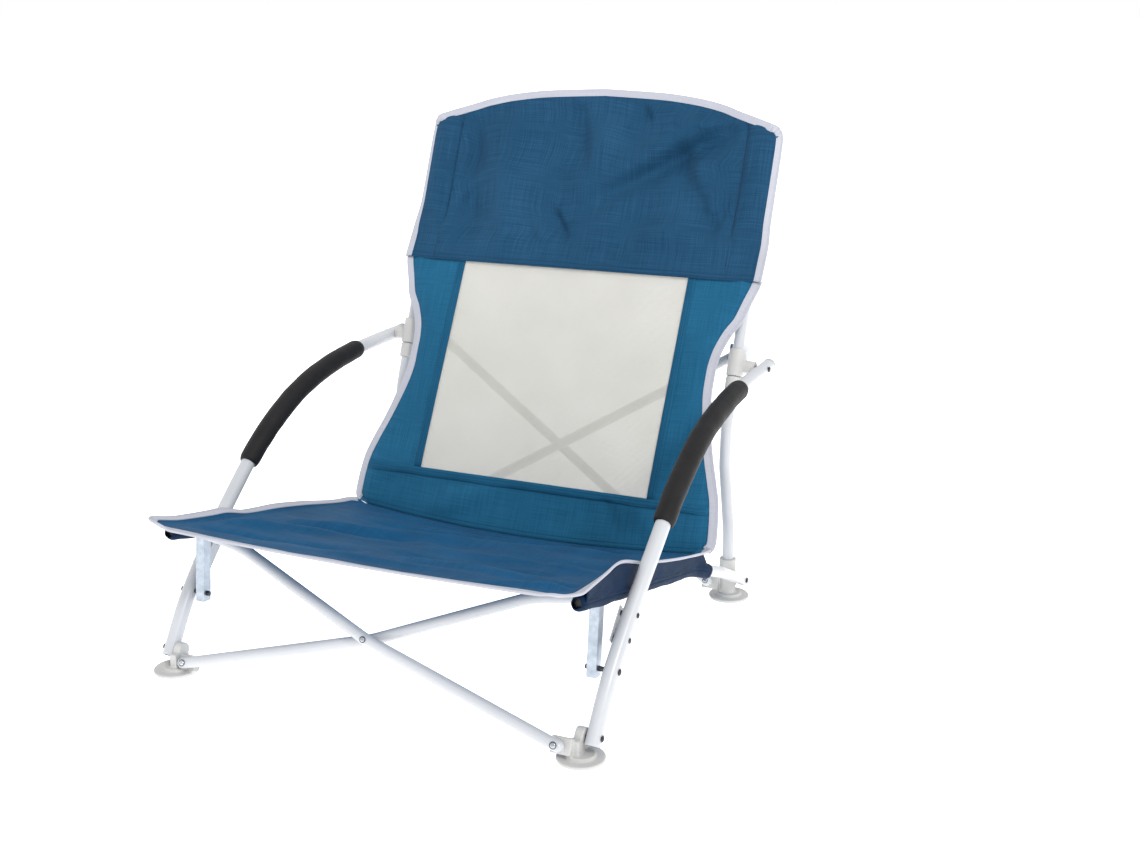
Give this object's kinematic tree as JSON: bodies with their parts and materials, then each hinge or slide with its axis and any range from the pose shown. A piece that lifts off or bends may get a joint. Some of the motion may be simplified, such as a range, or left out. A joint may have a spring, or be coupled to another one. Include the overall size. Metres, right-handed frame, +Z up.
{
  "type": "folding beach chair",
  "caption": "Low folding beach chair with a tubular steel frame, crossed bars front and rear, padded arms and a fabric sling with a mesh back window.",
  "frame": {"origin": "on the floor under the middle of the opened chair's bounding box", "axes": "+X to the sitter's left, +Y to the back of the chair, +Z up; left and right in names are as seen from in front, so left is -X"},
  "size_m": [0.6188, 0.7352, 0.6744],
  "materials": {
    "white_paint": "glossy white powder coat on steel tube",
    "white_plastic": "moulded off-white plastic, satin",
    "zinc": "zinc plated steel",
    "dark_steel": "blackened rivets and bolts",
    "black_foam": "closed-cell foam sleeve, matte",
    "black_plastic": "moulded black plastic plug",
    "blue_fabric": "blue woven polyester",
    "mesh_fabric": "off-white open mesh"
  },
  "bodies": {
    "left_side": {"upright_left": "white_paint", "upright_cap_left": "white_plastic", "rear_foot_left": "white_plastic", "rear_bar_bolt_left": "dark_steel", "rail_bolt_left": "dark_steel", "stop_collar_left": "white_plastic", "back_sling": "blue_fabric", "back_mesh": "mesh_fabric"},
    "slider_left": {"slider_collar_left": "white_plastic", "slider_fork_left": "zinc", "slider_fork_pin_left": "dark_steel", "arm_bolt_left": "dark_steel"},
    "arm_left": {"arm_tube_left": "white_paint", "foam_grip_left": "black_foam", "arm_plug_left": "white_plastic", "leg_bracket_left": "white_paint", "bracket_rivet_1_left": "dark_steel", "bracket_rivet_2_left": "dark_steel", "rail_strut_left": "zinc", "strut_bolt_left": "dark_steel"},
    "front_foot_left": {"front_foot_left": "white_plastic", "front_bar_bolt_left": "dark_steel", "leg_bolt_left": "dark_steel"},
    "seat_rail_left": {"seat_rail_left": "white_paint", "rail_plug_left": "black_plastic", "seat_sling": "blue_fabric"},
    "right_side": {"upright_right": "white_paint", "upright_cap_right": "white_plastic", "rear_foot_right": "white_plastic", "rear_bar_bolt_right": "dark_steel", "rail_bolt_right": "dark_steel", "stop_collar_right": "white_plastic"},
    "slider_right": {"slider_collar_right": "white_plastic", "slider_fork_right": "zinc", "slider_fork_pin_right": "dark_steel", "arm_bolt_right": "dark_steel"},
    "arm_right": {"arm_tube_right": "white_paint", "foam_grip_right": "black_foam", "arm_plug_right": "white_plastic", "leg_bracket_right": "white_paint", "bracket_rivet_1_right": "dark_steel", "bracket_rivet_2_right": "dark_steel", "rail_strut_right": "zinc", "strut_bolt_right": "dark_steel"},
    "front_foot_right": {"front_foot_right": "white_plastic", "front_bar_bolt_right": "dark_steel", "leg_bolt_right": "dark_steel"},
    "seat_rail_right": {"seat_rail_right": "white_paint", "rail_plug_right": "black_plastic"},
    "rear_bar_a": {"rear_bar_a": "white_paint", "rear_cross_bolt": "dark_steel", "rear_cross_nut": "dark_steel"},
    "rear_bar_b": {"rear_bar_b": "white_paint"},
    "front_bar_a": {"front_bar_a": "white_paint", "front_cross_nut": "dark_steel"},
    "front_bar_b": {"front_bar_b": "white_paint", "front_cross_bolt": "dark_steel"}
  },
  "joints": [
    {"name": "fold", "type": "hinge", "parent": "left_side", "child": "rear_bar_a", "pos_m": [-0.25, 0.1503, 0.03], "axis": [0, -0.9239, 0.3827], "range_deg": [0, 55.45], "deforming": ["back_sling", "back_mesh", "seat_sling"]},
    {"name": "rear_cross", "type": "hinge", "parent": "rear_bar_a", "child": "rear_bar_b", "pos_m": [0, 0.21153, 0.17782], "axis": [0, -0.9239, 0.3827], "range_deg": [-110.95, 0]},
    {"name": "right_side_hinge", "type": "hinge", "parent": "rear_bar_b", "child": "right_side", "pos_m": [0.25, 0.1503, 0.03], "axis": [0, -0.9239, 0.3827], "range_deg": [0, 55.5]},
    {"name": "slider_right_hinge", "type": "hinge", "parent": "rear_bar_a", "child": "slider_right", "pos_m": [0.25, 0.27276, 0.32564], "axis": [0, -0.9239, 0.3827], "range_deg": [-55.5, 0]},
    {"name": "slider_left_hinge", "type": "hinge", "parent": "rear_bar_b", "child": "slider_left", "pos_m": [-0.25, 0.27276, 0.32564], "axis": [0, -0.9239, 0.3827], "range_deg": [0, 55.5]},
    {"name": "arm_swing_left", "type": "hinge", "parent": "slider_left", "child": "arm_left", "pos_m": [-0.2953, 0.2373, 0.318], "axis": [1, 0, 0], "range_deg": [0, 38.5]},
    {"name": "front_foot_turn_left", "type": "hinge", "parent": "arm_left", "child": "front_foot_left", "pos_m": [-0.288, -0.3267, 0.025], "axis": [1, 0, 0], "range_deg": [-38.5, 0]},
    {"name": "rail_swing_left", "type": "hinge", "parent": "left_side", "child": "seat_rail_left", "pos_m": [-0.293, 0.1813, 0.027], "axis": [1, 0, 0], "range_deg": [-75.05, 0]},
    {"name": "arm_swing_right", "type": "hinge", "parent": "slider_right", "child": "arm_right", "pos_m": [0.2953, 0.2373, 0.318], "axis": [1, 0, 0], "range_deg": [0, 38.5]},
    {"name": "front_foot_turn_right", "type": "hinge", "parent": "arm_right", "child": "front_foot_right", "pos_m": [0.288, -0.3267, 0.025], "axis": [1, 0, 0], "range_deg": [-38.5, 0]},
    {"name": "rail_swing_right", "type": "hinge", "parent": "right_side", "child": "seat_rail_right", "pos_m": [0.293, 0.1813, 0.027], "axis": [1, 0, 0], "range_deg": [-75.05, 0]},
    {"name": "front_bar_a_turn", "type": "hinge", "parent": "front_foot_left", "child": "front_bar_a", "pos_m": [-0.2555, -0.3497, 0.02], "axis": [0, -0.9239, 0.3827], "range_deg": [0, 68.55]},
    {"name": "front_bar_b_turn", "type": "hinge", "parent": "front_foot_right", "child": "front_bar_b", "pos_m": [0.2555, -0.3497, 0.02], "axis": [0, -0.9239, 0.3827], "range_deg": [-68.55, 0]}
  ],
  "couplings": [
    {"joint": "rear_cross", "follows": "fold", "ratio": -2},
    {"joint": "right_side_hinge", "follows": "fold", "ratio": 1},
    {"joint": "slider_right_hinge", "follows": "fold", "ratio": -1},
    {"joint": "slider_left_hinge", "follows": "fold", "ratio": 1},
    {"joint": "arm_swing_left", "follows": "fold", "ratio": 0.69338},
    {"joint": "front_foot_turn_left", "follows": "fold", "ratio": -0.69338},
    {"joint": "rail_swing_left", "follows": "fold", "ratio": -1.3526},
    {"joint": "arm_swing_right", "follows": "fold", "ratio": 0.69338},
    {"joint": "front_foot_turn_right", "follows": "fold", "ratio": -0.69338},
    {"joint": "rail_swing_right", "follows": "fold", "ratio": -1.3526},
    {"joint": "front_bar_a_turn", "follows": "fold", "ratio": 1.2353},
    {"joint": "front_bar_b_turn", "follows": "fold", "ratio": -1.2353}
  ]
}
